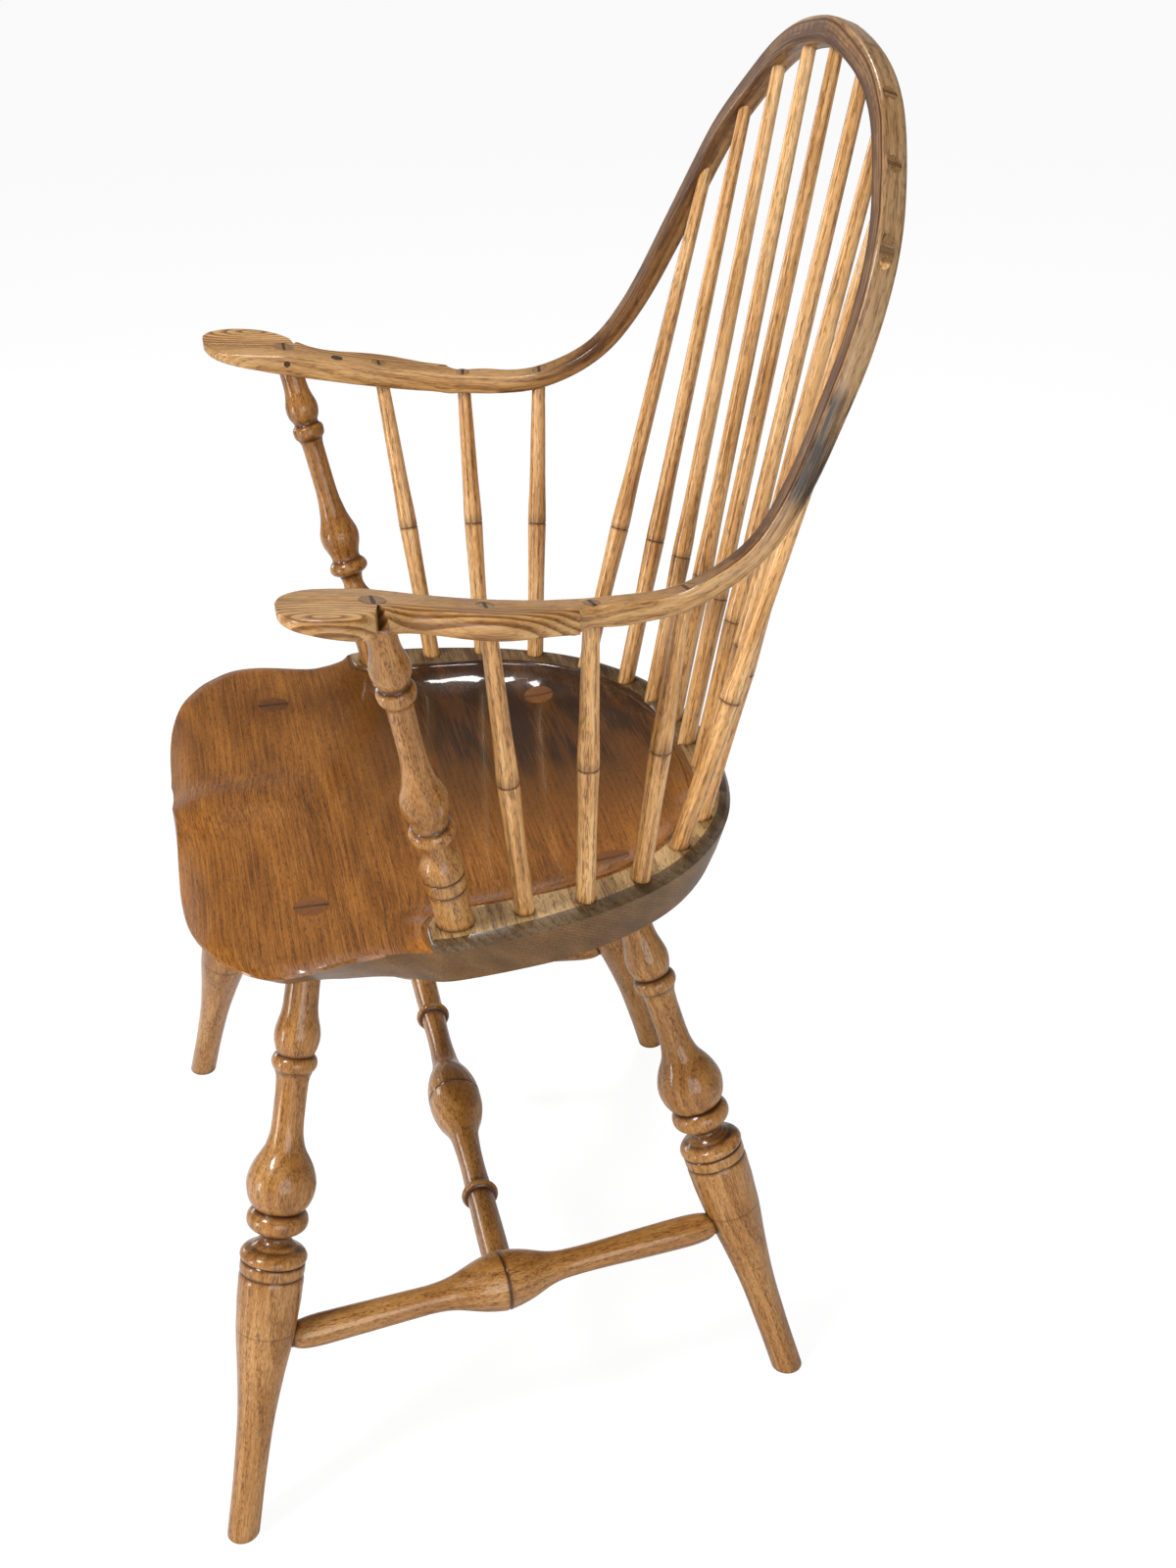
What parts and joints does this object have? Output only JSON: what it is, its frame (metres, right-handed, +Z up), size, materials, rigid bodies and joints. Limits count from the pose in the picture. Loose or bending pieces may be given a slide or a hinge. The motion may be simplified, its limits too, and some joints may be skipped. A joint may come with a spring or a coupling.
{
  "type": "windsor armchair",
  "caption": "Windsor armchair: a bent rail forms both arms and the hooped back over plain spindles, on a saddled plank seat with splayed turned legs and stretchers.",
  "frame": {"origin": "on the floor, under the middle of the plan's bounding box", "axes": "+Z up, the chair faces -Y, the sitter's left hand is on +X"},
  "size_m": [0.6046, 0.5336, 0.9673],
  "materials": {
    "seat_plank": "dark stained, polished and rubbed at the edges",
    "bent_rail": "straight grained, clear satin",
    "turned_wood": "turned, fine flecked, clear satin",
    "spindle_wood": "turned, dark pores, clear satin",
    "wedge_wood": "end grain, dark line",
    "plug_wood": "end grain, darker than the arm"
  },
  "bodies": {
    "root": {"seat": "seat_plank", "arm_bow": "bent_rail", "hand_block_left": "bent_rail", "hand_block_right": "bent_rail", "arm_post_left": "turned_wood", "arm_post_right": "turned_wood", "arm_plug_right": "plug_wood", "arm_spindle_left_1": "spindle_wood", "arm_spindle_left_2": "spindle_wood", "arm_spindle_left_3": "spindle_wood", "arm_spindle_right_1": "spindle_wood", "arm_spindle_right_2": "spindle_wood", "arm_spindle_right_3": "spindle_wood", "back_spindle_1": "spindle_wood", "back_spindle_2": "spindle_wood", "back_spindle_3": "spindle_wood", "back_spindle_4": "spindle_wood", "back_spindle_5": "spindle_wood", "back_spindle_6": "spindle_wood", "back_spindle_7": "spindle_wood", "back_spindle_8": "spindle_wood", "back_spindle_9": "spindle_wood", "leg_front_left": "turned_wood", "leg_front_right": "turned_wood", "leg_back_left": "turned_wood", "leg_back_right": "turned_wood", "side_stretcher_left": "turned_wood", "side_stretcher_right": "turned_wood", "medial_stretcher": "turned_wood", "leg_wedges": "wedge_wood", "post_wedges": "wedge_wood", "arm_spindle_wedges": "wedge_wood", "back_spindle_wedges": "wedge_wood", "post_pegs": "plug_wood"}
  },
  "joints": []
}
